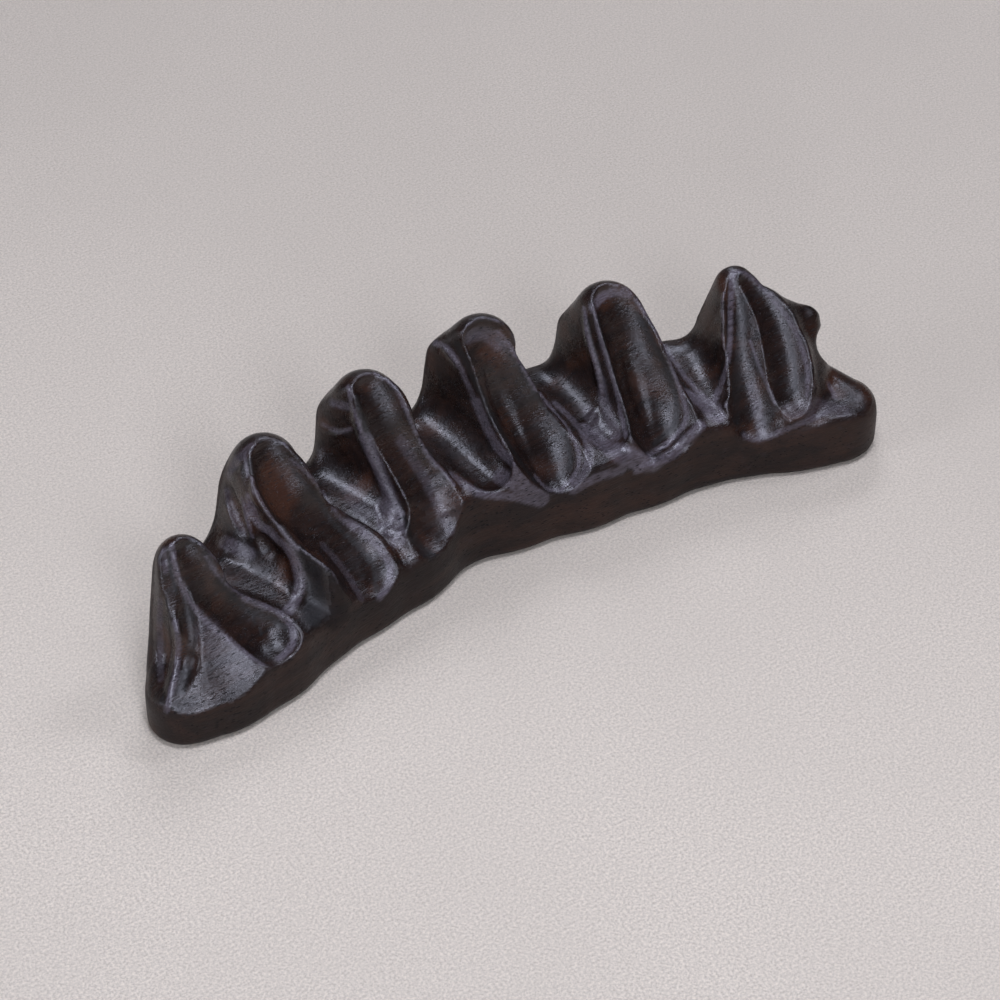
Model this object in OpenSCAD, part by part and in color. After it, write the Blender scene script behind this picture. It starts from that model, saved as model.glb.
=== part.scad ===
// Carved brush rest: one block of hardwood cut into six peaks on a bowed foot.
// Every peak is a stout blade with a scooped flute down its front, and the
// saddle between two peaks holds the handle of a brush.
// The foot lies on z = 0, the row of peaks runs along X, the flutes face -Y.

/* [Size] */
// Overall length of the carving along X, in mm
rest_length = 183.3; // [120:0.1:260]
// Height of the peaks relative to the drawn height
peak_height = 1; // [0.85:0.01:1.15]
// Width of the foot relative to the drawn width
foot_width = 1; // [0.92:0.01:1.1]

/* [Carving] */
// Depth of the scooped flutes relative to the drawn depth
flute_depth = 1; // [0.5:0.05:1.2]
// How far the saddles are cut below their drawn floor, in mm
saddle_drop = 0; // [-2:0.5:2]
// Width of the rounding between the peaks and the saddle floor, in mm
blend = 4; // [1:0.5:6]
// Radius that rounds the bottom edge of the foot, in mm
foot_round = 2.5; // [1:0.25:3.5]

/* [Fineness] */
// Number of cross sections along the carving
sections = 96; // [40:2:110]
// Number of steps in each cross section, from the foot to the crest
steps = 20; // [10:1:22]

/* [Hidden] */
drawn_length = 183.3;
wood = [0.17, 0.12, 0.11];

// Outline of the foot in plan: a chain of discs, [x, y, radius].
FOOT = [
    [-85, -13, 8], [-77, -9, 13], [-66, -4, 15.5], [-54, 1.5, 16], [-40, 5, 16.3],
    [-27, 7.5, 16.3], [-12, 10.5, 13.8], [3, 9.5, 15], [20, 8, 16], [36, 6, 15],
    [50, 4, 13.5], [62, 1, 13.5], [72, -4.5, 12.5], [79, -9, 10], [82, -11, 8]];

// Middle line of the foot, from which the cross sections are taken.
SPINE = [
    [-82, -12], [-76, -8.5], [-66, -3.5], [-54, 2], [-40, 5.5], [-27, 7.5], [-12, 9],
    [3, 9], [20, 8], [36, 6], [50, 4], [62, 0.5], [72, -4.5], [80, -9.5]];

// Direction of the cross sections: degrees from -Y towards +X, [x, angle].
// They run along the flutes and the saddles, which fan out from the middle.
LEAN = [
    [-95, 50], [-84, 46], [-74, 40], [-62, 36], [-48, 32], [-36, 31], [-22, 28], [-10, 28],
    [4, 27], [20, 19], [35, 11], [50, 1], [64, -10], [74, -24], [80, -34], [92, -44]];

// Height of the saddle floors over the middle of the foot, [x, z].
SADDLE = [
    [-95, 10], [-84, 16], [-70, 24], [-40, 25.5], [-10, 27], [20, 26.5], [44, 24.5],
    [52, 24.5], [66, 22], [74, 17], [80, 11.5], [86, 8.8], [92, 8.5]];

// Line in plan along which the saddles are highest, [x, y].
RIDGE = [
    [-95, -18], [-84, -10], [-70, 1], [-54, 8], [-40, 12], [-10, 13.5], [20, 13],
    [50, 10], [66, 5], [80, -6], [92, -18]];

// Height of the front shoulder, where the saddles run out, [x, z].
SHOULDER = [
    [-95, 9], [-84, 12], [-75, 15], [-60, 17], [-50, 15], [-40, 12.5], [-25, 16],
    [-10, 18.5], [5, 18.5], [20, 18.5], [40, 18], [50, 17], [60, 13], [75, 14],
    [85, 13], [95, 10]];

// The peaks. Each has a tip, a back shoulder and a back foot as [x, y, z, radius],
// a rim margin, a sideways shift of the blade, and stations down its flute:
// [x, y, z, half width, depth] of the plane between the two rims.
PEAKS = [
    [[-78.5, -3, 34.5, 5.2], [-79, -1, 32, 5], [-80, 0, 12, 7], 1.2, 0,
        [[-78, -4.5, 37.5, 3, 1.5], [-77.5, -7.5, 34, 4.5, 2.5], [-76, -10.5, 29.5, 5, 3.5],
         [-73.5, -12.5, 26, 5.5, 4], [-70, -14.5, 22, 6, 4.5], [-67, -17, 18, 6.5, 4.5]]],
    [[-52.5, 10, 38, 7], [-54.5, 14, 32, 7], [-56, 13, 14, 9], 1.5, 0.8,
        [[-53, 7, 44, 4.5, 2.5], [-52, 3, 38.5, 6, 3.5], [-50.5, -0.5, 34, 6.5, 4],
         [-48.5, -3, 30, 7, 4], [-45.2, -5.7, 26, 7.7, 4], [-42, -8.4, 21.5, 8, 4],
         [-40, -11.4, 16.5, 7.6, 3.5]]],
    [[-26, 14, 40.5, 7.2], [-29, 18, 35.5, 6.3], [-28, 17, 14, 9], 1.5, 1,
        [[-26, 11.5, 46, 4.5, 2.5], [-25.5, 8.5, 42, 5.5, 3], [-25, 5, 36, 6, 3.5],
         [-23, 1.5, 30, 6.3, 3.5], [-21, -1.5, 24, 6.8, 3], [-20.6, -3.6, 18.5, 6, 1.5]]],
    [[2.5, 14, 43.5, 7.3], [-3, 18.5, 38, 6.5], [-1, 18, 14, 9], 1.5, 1.2,
        [[0, 11.5, 47, 5, 2.5], [1.6, 8.8, 42, 6.6, 3], [3.2, 5, 35, 7.8, 4],
         [4.8, 2, 30, 8.1, 4], [6.6, -0.6, 26, 8.3, 4], [8.3, -3.2, 22, 7.6, 4],
         [9.5, -5.5, 18.5, 5.5, 3.5]]],
    [[34, 13, 40.2, 7.2], [30.5, 17.5, 34, 6], [32, 17, 14, 9], 1.5, 1,
        [[33, 11.5, 46, 4, 2.5], [34, 8.5, 42, 6, 3], [35, 4.5, 36, 6.5, 4],
         [35.5, 1, 30, 7, 4], [36, -1.5, 26, 7.5, 4], [36.5, -4, 22, 8, 4],
         [37, -7, 18, 6.5, 3.5]]],
    [[65.5, 9.8, 37.6, 4.2], [63.5, 12.5, 27, 5], [63, 12, 14, 7.5], 1.2, 0,
        [[65.5, 8, 41.5, 2, 1], [66, 5.5, 38, 4, 2], [66.5, 2, 34, 6, 3.5],
         [66, -1.5, 30, 8, 4], [64.8, -4.5, 26, 9.3, 4], [63, -7.5, 22, 9.8, 4]]]];

// The last peak is wide, and two narrower flutes share its front.
TWIN_FLUTES = [
    [[63.5, 7.8, 41, 1.6, 0.8], [62.9, 4.8, 37.5, 2.8, 1.4], [62, 1.5, 33.5, 3.5, 1.8],
     [60.8, -1.2, 30, 4.2, 2.2], [59.6, -4.2, 26, 4.8, 2.4], [58.8, -7, 21.5, 5.2, 2.4],
     [58.4, -9.5, 16.5, 5, 1.8]],
    [[66.4, 6.5, 39.5, 2, 0.7], [67.8, 3.2, 36, 3, 1.1], [69, -0.5, 32, 3.8, 1.4],
     [69.3, -3.8, 28, 4.4, 1.6], [69.1, -7, 24, 4.6, 1.6], [68.4, -9.8, 20, 4.2, 1.2]]];

// The first peak ends in a broad, almost flat cheek: paths of the middle of a
// large ball that cuts it, [x, y, z, radius].
CHEEK = [
    [[-89, -43.5, 56.5, 45], [-90, -45.5, 50, 45], [-92.5, -49.5, 44, 45]],
    [[-83, -46.5, 51.5, 45], [-83, -49.5, 45.5, 45]]];

// The right end narrows to a neck below its shoulder, cut by a small ball.
NECK = [[83.2, -6.8, 25.4, 5], [88.7, 2.1, 16, 5]];

// The right end: a shoulder that steps down from the last peak, and a low toe.
END_PLATES = [
    [[68.5, 6, 33, 2.6], [71.5, 4.2, 32, 2.8], [76, -6, 11, 6]],
    [[71.5, 4.2, 32, 2.8], [79.6, 1.4, 27.8, 3], [76, -6, 11, 6]],
    [[79.6, 1.4, 27.8, 3], [75, 1, 18.5, 3.4], [76, -6, 11, 6]],
    [[75, 1, 18.5, 3.4], [84, -10, 9, 6], [76, -6, 11, 6]],
    [[84, -12, 9, 6.2], [81, -14, 8, 6], [80, -8, 8, 7]]];

// The saddles: floor lines from back to front, [x, y, z, radius].
SADDLE_CUTS = [
    [[-75, 14, 22, 6.5], [-70.5, 6, 24, 6], [-65.5, -1, 23, 5.5], [-60.5, -7, 20, 5.3], [-57, -11, 18.5, 4.5]],
    [[-45, 26, 23, 6.5], [-40.5, 17.5, 25.5, 6], [-36.5, 10.5, 23.5, 5.5], [-32.5, 4.5, 21, 5.2], [-29.5, 0, 18.5, 4]],
    [[-16, 32, 24, 6.5], [-14, 23, 26.5, 6], [-10.2, 14, 24.5, 6], [-6.8, 6.5, 20.5, 5.4], [-4.6, 1.2, 18.6, 4.8]],
    [[19.5, 32, 24, 5.6], [20.3, 22, 26, 5.2], [21.3, 13, 24.5, 5.8], [23, 5, 21, 5.8], [24.5, -1, 19, 5]],
    [[48, 26, 21, 7], [49.5, 16, 24, 7], [50.5, 9, 23, 6.5], [51, 3, 20.5, 5.5], [51, -2, 19, 4.5]]];

// ---- smooth curves through the tables ----
function slope(t, i) = i == 0 ? (t[1][1] - t[0][1]) / (t[1][0] - t[0][0])
    : i == len(t) - 1 ? (t[i][1] - t[i-1][1]) / (t[i][0] - t[i-1][0])
    : (t[i+1][1] - t[i-1][1]) / (t[i+1][0] - t[i-1][0]);
function herm(t, i, u) = let(h = t[i+1][0] - t[i][0])
    (2*u*u*u - 3*u*u + 1)*t[i][1] + (u*u*u - 2*u*u + u)*h*slope(t, i)
    + (3*u*u - 2*u*u*u)*t[i+1][1] + (u*u*u - u*u)*h*slope(t, i + 1);
function smooth(t, n = 8) = concat(
    [for (i = [0 : len(t) - 2]) for (k = [0 : n - 1]) [t[i][0] + (t[i+1][0] - t[i][0])*k/n, herm(t, i, k/n)]],
    [t[len(t) - 1]]);

// ---- soft union and soft cut of two distances ----
function clamp01(v) = v < 0 ? 0 : v > 1 ? 1 : v;
function join(a, b, k) = let(h = clamp01(0.5 + 0.5*(b - a)/k)) b + (a - b)*h - k*h*(1 - h);
function cut(a, b, k) = -join(-a, -b, k);

// ---- distances to round-ended tapered bars and plates ----
function p3(v) = [v[0], v[1], v[2]];
function bar(a, b) = let(d = p3(b) - p3(a)) [p3(a), d, 1/(d*d), a[3], b[3] - a[3]];
function d_bar(p, s) = let(q = p - s[0], t = clamp01((q*s[1])*s[2])) norm(q - t*s[1]) - (s[3] + t*s[4]);
function slot(a, b) = let(d = p3(b) - p3(a)) [p3(a), d, 1/(d[0]*d[0] + d[1]*d[1]), a[3], b[3] - a[3], bar(a, b)];
function d_slot(p, s) = let(
    q = p - s[0],
    t = clamp01((q[0]*s[1][0] + q[1]*s[1][1])*s[2]),
    r = q - t*s[1])
    min(d_bar(p, s[5]), r[2] > 0 ? norm([r[0], r[1]]) - (s[3] + t*s[4]) - 0.08*r[2] : 1000);
function plate(a, b, c) = let(
    e = p3(b) - p3(a), f = p3(c) - p3(a), n = cross(e, f),
    g = 1/((e*e)*(f*f) - (e*f)*(e*f)))
    [p3(a), e, f, n/norm(n), e*e, e*f, f*f, g, a[3], b[3] - a[3], c[3] - a[3], bar(a, b), bar(b, c), bar(c, a), [a, b, c]];
function d_plate(p, s) = let(
    v = p - s[0], m = v*s[1], o = v*s[2],
    u = (s[6]*m - s[5]*o)*s[7], w = (s[4]*o - s[5]*m)*s[7],
    edge = min(d_bar(p, s[11]), d_bar(p, s[12]), d_bar(p, s[13])))
    u >= 0 && w >= 0 && u + w <= 1 ? min(edge, abs(v*s[3]) - (s[8] + u*s[9] + w*s[10])) : edge;

// ---- normals of a run of stations, in the upright plane of the run ----
function run_normal(s, i) = let(
    d = p3(s[min(len(s) - 1, i + 1)]) - p3(s[max(0, i - 1)]),
    h = norm([d[0], d[1]]),
    n = [-d[2]*d[0]/h, -d[2]*d[1]/h, h]/norm(d))
    n;

// ---- solids that a peak is made of, and the cuts ----
function lift(v) = [v[0], v[1], v[2]*peak_height, v[3]];
function blade(pk) = let(
    s = pk[5],
    c = [for (i = [0 : len(s) - 1]) let(
            w = s[i][3], r = w + pk[3], e = sqrt(r*r - w*w), n = run_normal(s, i),
            q = p3(s[i]) + [pk[4], 0, 0] - e*n)
            lift([q[0], q[1], q[2], r])])
    concat([plate(lift(pk[0]), c[1], lift(pk[2])), plate(lift(pk[0]), lift(pk[1]), lift(pk[2]))],
        [for (i = [1 : len(c) - 2]) plate(c[i], c[i+1], lift(pk[2]))]);
function flute(s) = let(
    c = [for (i = [0 : len(s) - 1]) let(
            w = s[i][3], h = s[i][4]*flute_depth, r = (w*w + h*h)/(2*h), n = run_normal(s, i),
            q = p3(s[i]) + (r - h)*n)
            lift([q[0], q[1], q[2], r])])
    bars(c);
function bars(c) = [for (i = [0 : len(c) - 2]) [bar(c[i], c[i+1]), [c[i], c[i+1]]]];
function saddle(s) = let(
    c = [for (i = [0 : len(s) - 1]) let(q = p3(s[i]) + s[i][3]*run_normal(s, i)) [q[0], q[1], q[2] - saddle_drop, s[i][3]]])
    [for (i = [0 : len(c) - 2]) [slot(c[i], c[i+1]), [c[i], c[i+1]]]];

// True where a solid of the points v comes within m of the section plane.
function near(v, o, t, m) = let(
    d = [for (q = v) (q[0] - o[0])*t[0] + (q[1] - o[1])*t[1]],
    r = max([for (q = v) q[3]]) + m)
    min(d) < r && max(d) > -r;

// ---- the whole carving as one distance, with the parts near one section ----
function foot_edge(z) = z < foot_round ? foot_round - sqrt(max(0, foot_round*foot_round - (foot_round - z)*(foot_round - z)))
    : z > 8 ? 0.06*(z - 8) : 0;
function d_disc(x, y, s) = let(q = [x, y] - s[0], t = clamp01((q*s[1])*s[2])) norm(q - t*s[1]) - (s[3] + t*s[4]);
function d_foot(x, y, f, i = 0) = i == len(f) - 1 ? d_disc(x, y, f[i]) : join(d_disc(x, y, f[i]), d_foot(x, y, f, i + 1), 3);
function d_peak(p, b, i = 0) = i == len(b) - 1 ? d_plate(p, b[i]) : join(d_plate(p, b[i]), d_peak(p, b, i + 1), 1);
function d_peaks(p, base, g, i = 0) = i == len(g) ? base : d_peaks(p, join(base, d_peak(p, g[i]), blend), g, i + 1);
function d_cuts(p, base, g, i = 0) = i == len(g) ? base
    : d_cuts(p, cut(base, -min([for (s = g[i]) d_slot(p, s)]), 1.4), g, i + 1);
function d_flutes(p, base, g, i = 0) = i == len(g) ? base
    : d_flutes(p, cut(base, -min([for (s = g[i]) d_bar(p, s)]), 0.5), g, i + 1);
function carving(p, L) = let(
    x = p[0], y = p[1], z = p[2],
    v = y - lookup(x, L[4][1]),
    zr = lookup(x, L[4][0]), zs = lookup(x, L[4][2]),
    roof = v < 0 ? zr + (zs - zr)*min(-v/20, 1.3) : zr - 0.25*v,
    solid = d_peaks(p, (z - roof)*0.75, L[1]),
    walled = cut(solid, d_foot(x, y, L[0]) + foot_edge(z), 1.4))
    d_flutes(p, d_cuts(p, walled, L[2]), L[3]);

// Length of a ray from the middle line out to the surface.
function reach(o, d, L, t = 1.5, n = 22) = n == 0 ? t
    : let(f = carving(o + t*d, L)) f > -0.02 ? t : reach(o, d, L, t - f*0.95, n - 1);

module carved_body() {
    sx = rest_length/drawn_length;
    foot = [for (i = [0 : len(FOOT) - 2]) let(
        a = FOOT[i], b = FOOT[i+1], w = foot_width,
        d = [b[0] - a[0], b[1] - a[1]])
        [[a[0], a[1]], d, 1/(d*d), a[2]*w, (b[2] - a[2])*w, [[a[0], a[1], 0, a[2]*w], [b[0], b[1], 0, b[2]*w]]]];
    blades = concat([for (p = PEAKS) blade(p)], [[for (e = END_PLATES) plate(lift(e[0]), lift(e[1]), lift(e[2]))]]);
    flutes = concat([for (s = concat([for (i = [0 : 4]) PEAKS[i][5]], TWIN_FLUTES)) flute(s)],
        [for (s = concat(CHEEK, [NECK])) bars([for (v = s) lift(v)])]);
    cuts = [for (s = SADDLE_CUTS) saddle(s)];
    tables = [smooth(SADDLE), smooth(RIDGE), smooth(SHOULDER)];

    // Evenly spaced points and directions along the smoothed middle line.
    line = smooth(SPINE);
    nl = len(line);
    run = [for (i = 0, s = 0; i < nl; i = i + 1, s = i < nl ? s + norm(line[i] - line[i-1]) : s) s];
    along = [for (i = [0 : nl - 1]) [run[i], i]];
    function spot(s) = let(f = lookup(s, along), i = min(nl - 2, floor(f))) line[i] + (f - i)*(line[i+1] - line[i]);
    total = run[nl - 1];
    at = [for (i = [0 : sections - 1]) spot(total*i/(sections - 1))];
    lean = smooth(LEAN);
    dir = [for (q = at) lookup(q[0], lean)];
    ends = 9;

    // The ring of outward rays: front, right end, back, left end.
    rays = concat(
        [for (i = [0 : sections - 1]) [at[i], dir[i] - 90]],
        [for (k = [1 : ends - 1]) [at[sections - 1], dir[sections - 1] - 90 + 180*k/ends]],
        [for (i = [sections - 1 : -1 : 0]) [at[i], dir[i] + 90]],
        [for (k = [1 : ends - 1]) [at[0], dir[0] + 90 + 180*k/ends]]);
    nr = len(rays);
    low = [0, 0.3, 1, 2.2, 3.6];
    z0 = 5;
    rows = len(low) + steps;
    // Elevation of a ray: the steps grow finer towards the crest.
    function rise(j) = let(u = j/steps) 90*u*(1.25 - 0.25*u);

    // Only the parts of the carving near each section are kept for it.
    local = [for (q = rays) let(o = q[0], t = [-sin(q[1]), cos(q[1])])
        [[for (f = foot) if (near(f[5], o, t, 5)) f],
         [for (b = [for (b = blades) [for (s = b) if (near(s[14], o, t, 6)) s]]) if (len(b) > 0) b],
         [for (b = [for (b = cuts) [for (s = b) if (near(s[1], o, t, 4)) s[0]]]) if (len(b) > 0) b],
         [for (b = [for (b = flutes) [for (s = b) if (near(s[1], o, t, 2)) s[0]]]) if (len(b) > 0) b],
         tables]];
    side = [for (a = [0 : nr - 1]) let(q = rays[a], c = cos(q[1]), s = sin(q[1])) concat(
        [for (z = low) let(o = [q[0][0], q[0][1], z]) o + [c, s, 0]*reach(o, [c, s, 0], local[a])],
        [for (j = [0 : steps - 1]) let(
            b = rise(j), o = [q[0][0], q[0][1], z0], d = [c*cos(b), s*cos(b), sin(b)])
            o + d*reach(o, d, local[a])])];
    crest = [for (i = [0 : sections - 1]) let(o = [at[i][0], at[i][1], z0]) o + [0, 0, 1]*reach(o, [0, 0, 1], local[i])];
    // The underside continues 1 mm below the foot and is then cut flat.
    pts = concat(
        [for (a = [0 : nr - 1]) [side[a][0][0], side[a][0][1], -1]],
        [for (a = [0 : nr - 1]) for (j = [0 : rows - 1]) side[a][j]],
        crest);
    function q(a, j) = nr + ((a + nr) % nr)*rows + j;
    function c(a) = nr*(1 + rows) + (a < sections ? a
        : a < sections + ends - 1 ? sections - 1
        : a < 2*sections + ends - 1 ? 2*sections + ends - 2 - a : 0);
    // Each four-sided patch is split along its shorter diagonal.
    walls = [for (a = [0 : nr - 1]) for (j = [0 : rows - 2]) let(
        w = q(a, j), x = q(a, j + 1), y = q(a + 1, j + 1), z = q(a + 1, j))
        for (f = norm(pts[w] - pts[y]) < norm(pts[x] - pts[z]) ? [[w, x, y], [w, y, z]] : [[w, x, z], [x, y, z]]) f];
    under = [for (a = [0 : nr - 1]) for (f = [[a, q(a, 0), q(a + 1, 0)], [a, q(a + 1, 0), (a + 1) % nr]]) f];
    caps = [for (a = [0 : nr - 1]) let(b = (a + 1) % nr, u = c(a), w = c(b))
        for (f = u == w ? [[q(a, rows - 1), u, q(b, rows - 1)]]
            : [[q(a, rows - 1), u, q(b, rows - 1)], [u, w, q(b, rows - 1)]]) f];
    // The floor of the polyhedron: a strip between front and back, and two fans.
    back = 2*sections + ends - 2;
    floor_faces = concat(
        [for (i = [0 : sections - 2]) for (f = [[i, i + 1, back - i - 1], [i, back - i - 1, back - i]]) f],
        [for (k = [0 : ends - 2]) [sections - 1, sections + k, sections + k + 1]],
        [for (k = [0 : ends - 2]) [0, back + k, (back + k + 1) % nr]]);

    color(wood)
    translate([1.35*sx, -1.55*sx, 0])
    scale(sx)
    difference() {
        polyhedron(points = pts, faces = concat(walls, under, caps, floor_faces), convexity = 8);
        translate([-150, -80, -10]) cube([300, 160, 10]);
    }
}

carved_body();
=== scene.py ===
import math
import bpy
import numpy as np
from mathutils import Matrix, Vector


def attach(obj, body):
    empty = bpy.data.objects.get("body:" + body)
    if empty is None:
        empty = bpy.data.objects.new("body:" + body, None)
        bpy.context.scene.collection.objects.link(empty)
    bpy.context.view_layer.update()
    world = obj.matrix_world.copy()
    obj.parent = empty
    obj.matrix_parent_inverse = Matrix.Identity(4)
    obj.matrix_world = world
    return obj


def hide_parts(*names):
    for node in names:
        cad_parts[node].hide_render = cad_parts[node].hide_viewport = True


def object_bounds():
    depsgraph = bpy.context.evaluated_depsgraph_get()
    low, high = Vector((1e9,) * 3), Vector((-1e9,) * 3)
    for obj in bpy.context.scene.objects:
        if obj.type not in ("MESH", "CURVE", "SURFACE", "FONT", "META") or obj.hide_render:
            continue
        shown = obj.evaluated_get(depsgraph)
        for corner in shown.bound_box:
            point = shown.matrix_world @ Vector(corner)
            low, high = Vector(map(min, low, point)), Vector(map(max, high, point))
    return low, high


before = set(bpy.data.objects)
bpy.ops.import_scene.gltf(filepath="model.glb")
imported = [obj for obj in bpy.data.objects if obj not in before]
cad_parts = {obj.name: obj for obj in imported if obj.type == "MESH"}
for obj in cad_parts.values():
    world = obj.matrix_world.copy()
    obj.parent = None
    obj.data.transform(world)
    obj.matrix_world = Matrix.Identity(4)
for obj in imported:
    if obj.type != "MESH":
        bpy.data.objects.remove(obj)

CAD_BOX = [list(c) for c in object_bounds()]
STEP = 0.58          # mesh cell of the carving, mm
SHIFT = (1.35, -1.55, 0.0)              # drawn origin to row origin, mm

# ------------------------------------------------------------------ tables of the carving, in mm
FOOT = [
    [-85, -13, 8], [-77, -9, 13], [-66, -4, 15.5], [-54, 1.5, 16], [-40, 5, 16.3],
    [-27, 7.5, 16.3], [-12, 10.5, 13.8], [3, 9.5, 15], [20, 8, 16], [36, 6, 15],
    [50, 4, 13.5], [62, 1, 13.5], [72, -4.5, 12.5], [79, -9, 10], [82, -11, 8]]
SADDLE = [
    [-95, 10], [-84, 16], [-70, 24], [-40, 25.5], [-10, 27], [20, 26.5], [44, 24.5],
    [52, 24.5], [66, 22], [74, 17], [80, 11.5], [86, 8.8], [92, 8.5]]
RIDGE = [
    [-95, -18], [-84, -10], [-70, 1], [-54, 8], [-40, 12], [-10, 13.5], [20, 13],
    [50, 10], [66, 5], [80, -6], [92, -18]]
SHOULDER = [
    [-95, 9], [-84, 12], [-75, 15], [-60, 17], [-50, 15], [-40, 12.5], [-25, 16],
    [-10, 18.5], [5, 18.5], [20, 18.5], [40, 18], [50, 17], [60, 13], [75, 14],
    [85, 13], [95, 10]]
PEAKS = [
    [[-78.5, -3, 34.5, 5.2], [-79, -1, 32, 5], [-80, 0, 12, 7], 1.2, 0,
        [[-78, -4.5, 37.5, 3, 1.5], [-77.5, -7.5, 34, 4.5, 2.5], [-76, -10.5, 29.5, 5, 3.5],
         [-73.5, -12.5, 26, 5.5, 4], [-70, -14.5, 22, 6, 4.5], [-67, -17, 18, 6.5, 4.5]]],
    [[-52.5, 10, 38, 7], [-54.5, 14, 32, 7], [-56, 13, 14, 9], 1.5, 0.8,
        [[-53, 7, 44, 4.5, 2.5], [-52, 3, 38.5, 6, 3.5], [-50.5, -0.5, 34, 6.5, 4],
         [-48.5, -3, 30, 7, 4], [-45.2, -5.7, 26, 7.7, 4], [-42, -8.4, 21.5, 8, 4],
         [-40, -11.4, 16.5, 7.6, 3.5]]],
    [[-26, 14, 40.5, 7.2], [-29, 18, 35.5, 6.3], [-28, 17, 14, 9], 1.5, 1,
        [[-26, 11.5, 46, 4.5, 2.5], [-25.5, 8.5, 42, 5.5, 3], [-25, 5, 36, 6, 3.5],
         [-23, 1.5, 30, 6.3, 3.5], [-21, -1.5, 24, 6.8, 3], [-20.6, -3.6, 18.5, 6, 1.5]]],
    [[2.5, 14, 43.5, 7.3], [-3, 18.5, 38, 6.5], [-1, 18, 14, 9], 1.5, 1.2,
        [[0, 11.5, 47, 5, 2.5], [1.6, 8.8, 42, 6.6, 3], [3.2, 5, 35, 7.8, 4],
         [4.8, 2, 30, 8.1, 4], [6.6, -0.6, 26, 8.3, 4], [8.3, -3.2, 22, 7.6, 4],
         [9.5, -5.5, 18.5, 5.5, 3.5]]],
    [[34, 13, 40.2, 7.2], [30.5, 17.5, 34, 6], [32, 17, 14, 9], 1.5, 1,
        [[33, 11.5, 46, 4, 2.5], [34, 8.5, 42, 6, 3], [35, 4.5, 36, 6.5, 4],
         [35.5, 1, 30, 7, 4], [36, -1.5, 26, 7.5, 4], [36.5, -4, 22, 8, 4],
         [37, -7, 18, 6.5, 3.5]]],
    [[65.5, 9.8, 37.6, 4.2], [63.5, 12.5, 27, 5], [63, 12, 14, 7.5], 1.2, 0,
        [[65.5, 8, 41.5, 2, 1], [66, 5.5, 38, 4, 2], [66.5, 2, 34, 6, 3.5],
         [66, -1.5, 30, 8, 4], [64.8, -4.5, 26, 9.3, 4], [63, -7.5, 22, 9.8, 4]]]]
TWIN_FLUTES = [
    [[63.5, 7.8, 41, 1.6, 0.8], [62.9, 4.8, 37.5, 2.8, 1.4], [62, 1.5, 33.5, 3.5, 1.8],
     [60.8, -1.2, 30, 4.2, 2.2], [59.6, -4.2, 26, 4.8, 2.4], [58.8, -7, 21.5, 5.2, 2.4],
     [58.4, -9.5, 16.5, 5, 1.8]],
    [[66.4, 6.5, 39.5, 2, 0.7], [67.8, 3.2, 36, 3, 1.1], [69, -0.5, 32, 3.8, 1.4],
     [69.3, -3.8, 28, 4.4, 1.6], [69.1, -7, 24, 4.6, 1.6], [68.4, -9.8, 20, 4.2, 1.2]]]
END_PLATES = [
    [[68.5, 6.0, 33, 2.6], [71.5, 4.2, 32, 2.8], [76, -6, 11, 6]],
    [[71.5, 4.2, 32, 2.8], [79.6, 1.4, 27.8, 3], [76, -6, 11, 6]],
    [[79.6, 1.4, 27.8, 3], [75, 1, 18.5, 3.4], [76, -6, 11, 6]],
    [[75, 1, 18.5, 3.4], [84, -10, 9, 6], [76, -6, 11, 6]],
    [[84, -12, 9, 6.2], [81, -14, 8, 6], [80, -8, 8, 7]]]
SADDLE_CUTS = [
    [[-75, 14, 22, 6.5], [-70.5, 6, 24, 6], [-65.5, -1, 23, 5.5], [-60.5, -7, 20, 5.3], [-57, -11, 18.5, 4.5]],
    [[-45, 26, 23, 6.5], [-40.5, 17.5, 25.5, 6], [-36.5, 10.5, 23.5, 5.5], [-32.5, 4.5, 21, 5.2], [-29.5, 0, 18.5, 4]],
    [[-16, 32, 24, 6.5], [-14, 23, 26.5, 6], [-10.2, 14, 24.5, 6], [-6.8, 6.5, 20.5, 5.4], [-4.6, 1.2, 18.6, 4.8]],
    [[19.5, 32, 24, 5.6], [20.3, 22, 26, 5.2], [21.3, 13, 24.5, 5.8], [23, 5, 21, 5.8], [24.5, -1, 19, 5]],
    [[48, 26, 21, 7], [49.5, 16, 24, 7], [50.5, 9, 23, 6.5], [51, 3, 20.5, 5.5], [51, -2, 19, 4.5]]]

# Raised beads along each trough's edges: radii at its stations on the left and the right (0 for none),
# radii round its lower end from the right-hand edge to the front, and a fourth column, not read, for a second bead
# further left as (station, distance from the edge, drop, radius). The last two rows are the twin troughs'.
RIMS = [
    [[1.0, 1.1, 1.2, 1.2, 0, 0], [0.8, 1.0, 1.3, 1.5, 1.6, 1.7], [1.8, 1.8, 1.7], []],
    [[0, 1.2, 1.2, 1.0, 0, 0, 0], [0.4, 1.1, 1.1, 1.2, 1.6, 2.0, 2.3], [2.4, 2.2, 1.8], []],
    [[0.5, 1.2, 1.2, 1.2, 0.9, 0], [0.6, 1.1, 1.2, 1.3, 1.0, 0], [], []],
    [[0.4, 1.2, 1.3, 1.3, 1.2, 1.0, 0.8], [0.6, 1.1, 1.1, 1.2, 1.4, 1.6, 1.7], [1.7, 1.6, 1.4, 1.2],
     []],
    [[0.5, 1.7, 1.8, 1.7, 1.5, 1.2, 0.8], [0.5, 1.0, 1.1, 1.3, 1.5, 1.7, 1.8], [1.9, 1.8, 1.6, 1.2],
     []],
    [[0, 0.7, 1.0, 1.2, 1.2, 1.1, 0], [0, 0, 0, 0, 0, 0, 0], [], []],
    [[0, 0, 0, 0, 0, 0], [0, 0, 1.0, 1.3, 1.4, 1.2], [], []]]

# Wide shallow scoops: points (x, y in the 1000-pixel frame, height mm), outward direction, radius mm, softness mm.
SCOOPS = [
    ([(204, 624, 25), (207, 655, 18.5), (205, 692, 12.6)], (-0.22, -0.68, 0.70), 45.0, 0.5),
    ([(228, 640, 20.3), (236, 668, 14.6)], (-0.18, -0.70, 0.69), 45.0, 0.5),
]
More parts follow.
